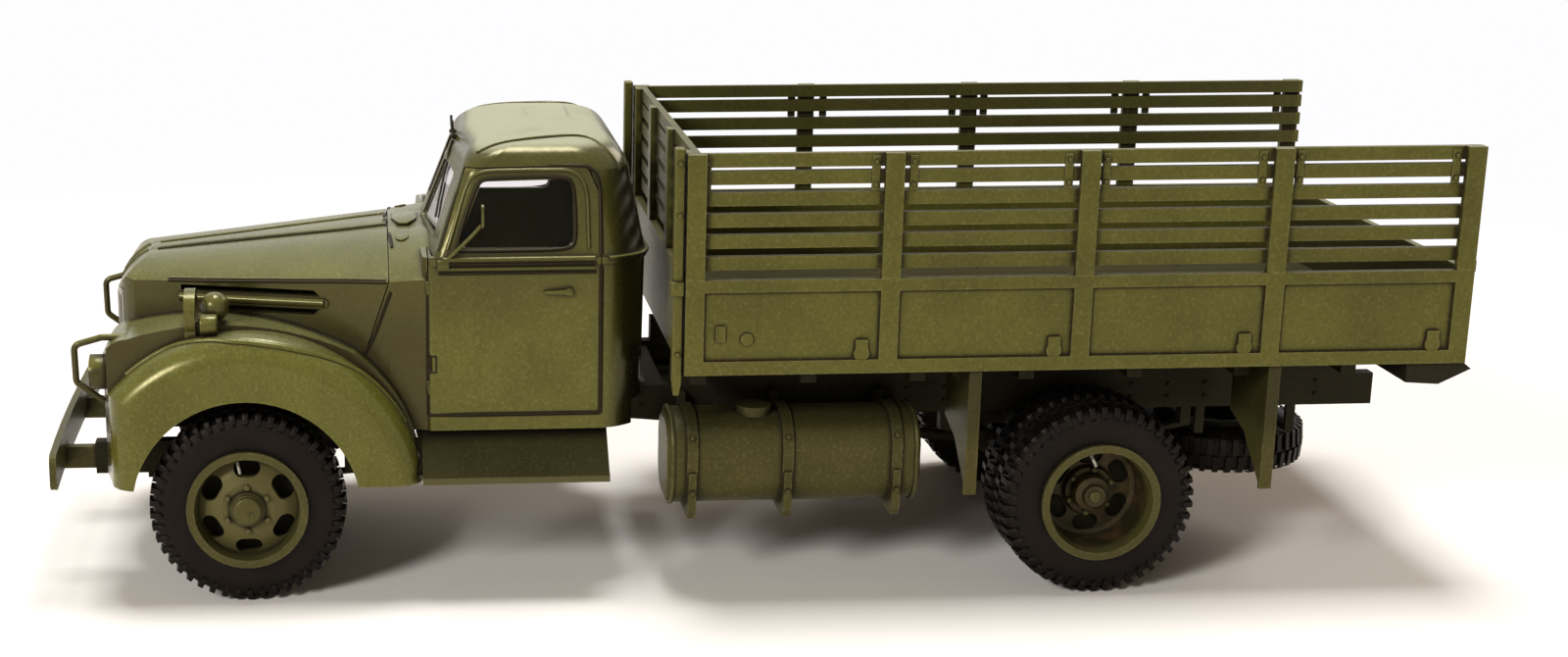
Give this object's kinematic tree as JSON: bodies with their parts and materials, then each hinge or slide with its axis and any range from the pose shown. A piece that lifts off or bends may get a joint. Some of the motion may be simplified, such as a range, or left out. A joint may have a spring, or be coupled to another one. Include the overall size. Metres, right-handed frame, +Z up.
{
  "type": "scale model military cargo truck",
  "caption": "Small 1:72 scale model of a military cargo truck: rounded cab, hood with slotted grille, and a wooden-rack load bed over twin rear wheels that turn.",
  "frame": {"origin": "centre of the bounding box's bottom face, on the floor between the wheels", "axes": "+Z up, -Y towards the truck's nose, +X to its left side"},
  "size_m": [0.0304, 0.0926, 0.0304],
  "materials": {
    "tyre": "matt black rubber with a dusty tread",
    "olive": "matt olive paint with a worn, dusty wash",
    "black": "matt black",
    "dark_metal": "dark grimed paint",
    "glass": "clear",
    "lamp": "clear lens over a bright reflector",
    "seat": "matt canvas colour"
  },
  "bodies": {
    "truck": {"bed_floor": "olive", "bench_seat": "seat", "blackout_lamp": "olive", "cab_floor": "olive", "cab_shell": "olive", "chassis_frame": "olive", "cross_sills": "olive", "dashboard": "black", "door_mirror": "olive", "engine_block": "dark_metal", "exhaust": "black", "front_axle": "dark_metal", "front_bumper": "olive", "front_rack": "olive", "front_springs": "dark_metal", "fuel_tank": "olive", "grille": "olive", "headboard": "olive", "headlamp_guards": "olive", "headlamps": "lamp", "hood": "olive", "left_door": "olive", "left_door_glass": "glass", "left_fender": "olive", "left_panel": "olive", "left_rack": "olive", "long_sills": "olive", "mudguard_boards": "olive", "propeller_shaft": "dark_metal", "radiator": "black", "rear_axle": "dark_metal", "rear_glass": "glass", "rear_springs": "dark_metal", "right_door": "olive", "right_door_glass": "glass", "right_fender": "olive", "right_panel": "olive", "right_rack": "olive", "running_boards": "olive", "spare_tyre": "tyre", "spare_wheel": "olive", "steering_knuckles": "dark_metal", "steering_wheel": "black", "tailgate": "olive", "tank_brackets": "olive", "tie_rod": "dark_metal", "windscreen": "glass"},
    "front_left": {"front_left_tyre": "tyre", "front_left_wheel": "olive"},
    "front_right": {"front_right_tyre": "tyre", "front_right_wheel": "olive"},
    "rear_left": {"rear_left_tyres": "tyre", "rear_left_wheels": "olive"},
    "rear_right": {"rear_right_tyres": "tyre", "rear_right_wheels": "olive"}
  },
  "joints": [
    {"name": "front_left_wheel_turn", "type": "hinge", "parent": "truck", "child": "front_left", "pos_m": [0.0111, -0.03345, 0.00645], "axis": [1, 0, 0], "continuous": true},
    {"name": "front_right_wheel_turn", "type": "hinge", "parent": "truck", "child": "front_right", "pos_m": [-0.0111, -0.03345, 0.00645], "axis": [1, 0, 0], "continuous": true},
    {"name": "rear_left_wheels_turn", "type": "hinge", "parent": "truck", "child": "rear_left", "pos_m": [0.01145, 0.02235, 0.00645], "axis": [1, 0, 0], "continuous": true},
    {"name": "rear_right_wheels_turn", "type": "hinge", "parent": "truck", "child": "rear_right", "pos_m": [-0.01145, 0.02235, 0.00645], "axis": [1, 0, 0], "continuous": true}
  ]
}
